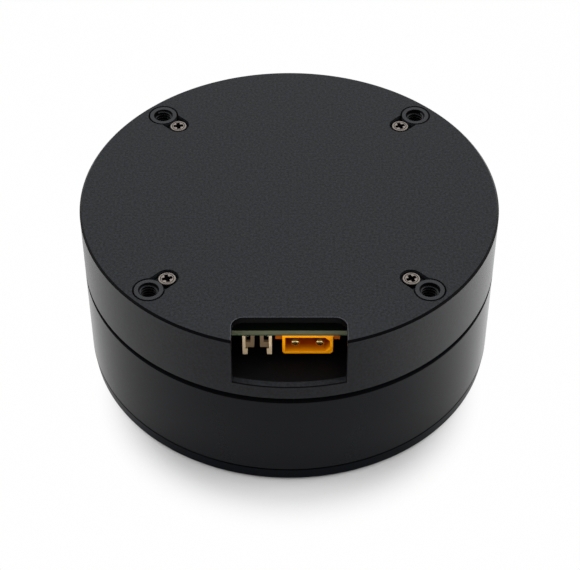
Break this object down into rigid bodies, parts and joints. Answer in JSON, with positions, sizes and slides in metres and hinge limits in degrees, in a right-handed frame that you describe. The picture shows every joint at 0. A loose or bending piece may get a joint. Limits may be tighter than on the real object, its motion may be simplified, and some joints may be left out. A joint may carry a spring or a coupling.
{
  "type": "direct drive motor",
  "caption": "Flat round outrunner direct drive motor: the lower drum and output plate turn, the rear cover holds the driver board, a connector window and threaded mounting posts.",
  "frame": {"origin": "centre of the output face, on the turning axis, where the motor rests on its output plate", "axes": "+Z along the turning axis, from the output face to the rear cover's face; the connector window looks along -Y"},
  "size_m": [0.089, 0.089, 0.04],
  "materials": {
    "anodised_aluminium": "matt bead-blasted, black anodised",
    "machined_aluminium": "turned",
    "screw_steel": "nickel plated",
    "black_screw_steel": "black oxide",
    "lamination_steel": "stacked laminations",
    "back_iron_steel": "turned",
    "insulator_plastic": "moulded",
    "enamelled_copper": "enamelled wire",
    "sleeve_rubber": "matt",
    "bearing_steel": "ground",
    "ball_steel": "polished",
    "cage_plastic": "moulded",
    "spring_steel": "blued",
    "magnet_plating": "nickel plated",
    "board_laminate": "solder mask over glass laminate",
    "connector_yellow": "moulded nylon",
    "gold_contact": "gold plated",
    "connector_cream": "moulded nylon",
    "tin_contact": "tin plated",
    "chip_epoxy": "moulded epoxy",
    "pad_silicone": "soft",
    "capacitor_can": "drawn can",
    "crystal_can": "plated can"
  },
  "bodies": {
    "stator": {"stator_frame": "machined_aluminium", "rear_cover": "anodised_aluminium", "cover_screws": "screw_steel", "mounting_posts": "anodised_aluminium", "stator_core": "lamination_steel", "core_insulators": "insulator_plastic", "coils": "enamelled_copper", "phase_leads": "enamelled_copper", "lead_sleeves": "sleeve_rubber", "front_bearing_outer_ring": "bearing_steel", "rear_bearing_outer_ring": "bearing_steel", "preload_washer": "spring_steel", "driver_board": "board_laminate", "board_screws": "screw_steel", "power_connector": "connector_yellow", "power_pins": "gold_contact", "signal_connector": "connector_cream", "signal_pins": "tin_contact", "power_transistors": "chip_epoxy", "thermal_pad": "pad_silicone", "link_capacitors": "capacitor_can", "current_shunts": "chip_epoxy", "controller_chip": "chip_epoxy", "gate_driver_chip": "chip_epoxy", "transceiver_chip": "chip_epoxy", "crystal": "crystal_can", "encoder_chip": "chip_epoxy"},
    "rotor": {"output_plate": "anodised_aluminium", "rotor_drum": "anodised_aluminium", "plate_screws": "black_screw_steel", "back_iron": "back_iron_steel", "magnets": "magnet_plating", "front_bearing_inner_ring": "bearing_steel", "rear_bearing_inner_ring": "bearing_steel", "bearing_spacer": "bearing_steel", "retaining_ring": "spring_steel", "magnet_holder": "machined_aluminium", "encoder_magnet": "magnet_plating"},
    "front_ball_set": {"front_bearing_cage": "cage_plastic", "front_bearing_balls": "ball_steel"},
    "rear_ball_set": {"rear_bearing_cage": "cage_plastic", "rear_bearing_balls": "ball_steel"}
  },
  "joints": [
    {"name": "rotor_spin", "type": "hinge", "parent": "stator", "child": "rotor", "pos_m": [0, 0, 0], "axis": [0, 0, 1], "continuous": true},
    {"name": "front_ball_spin", "type": "hinge", "parent": "stator", "child": "front_ball_set", "pos_m": [0, 0, 0.0085], "axis": [0, 0, 1], "continuous": true},
    {"name": "rear_ball_spin", "type": "hinge", "parent": "stator", "child": "rear_ball_set", "pos_m": [0, 0, 0.0217], "axis": [0, 0, 1], "continuous": true}
  ],
  "couplings": [
    {"joint": "front_ball_spin", "follows": "rotor_spin", "ratio": 0.4449},
    {"joint": "rear_ball_spin", "follows": "rotor_spin", "ratio": 0.4449}
  ]
}
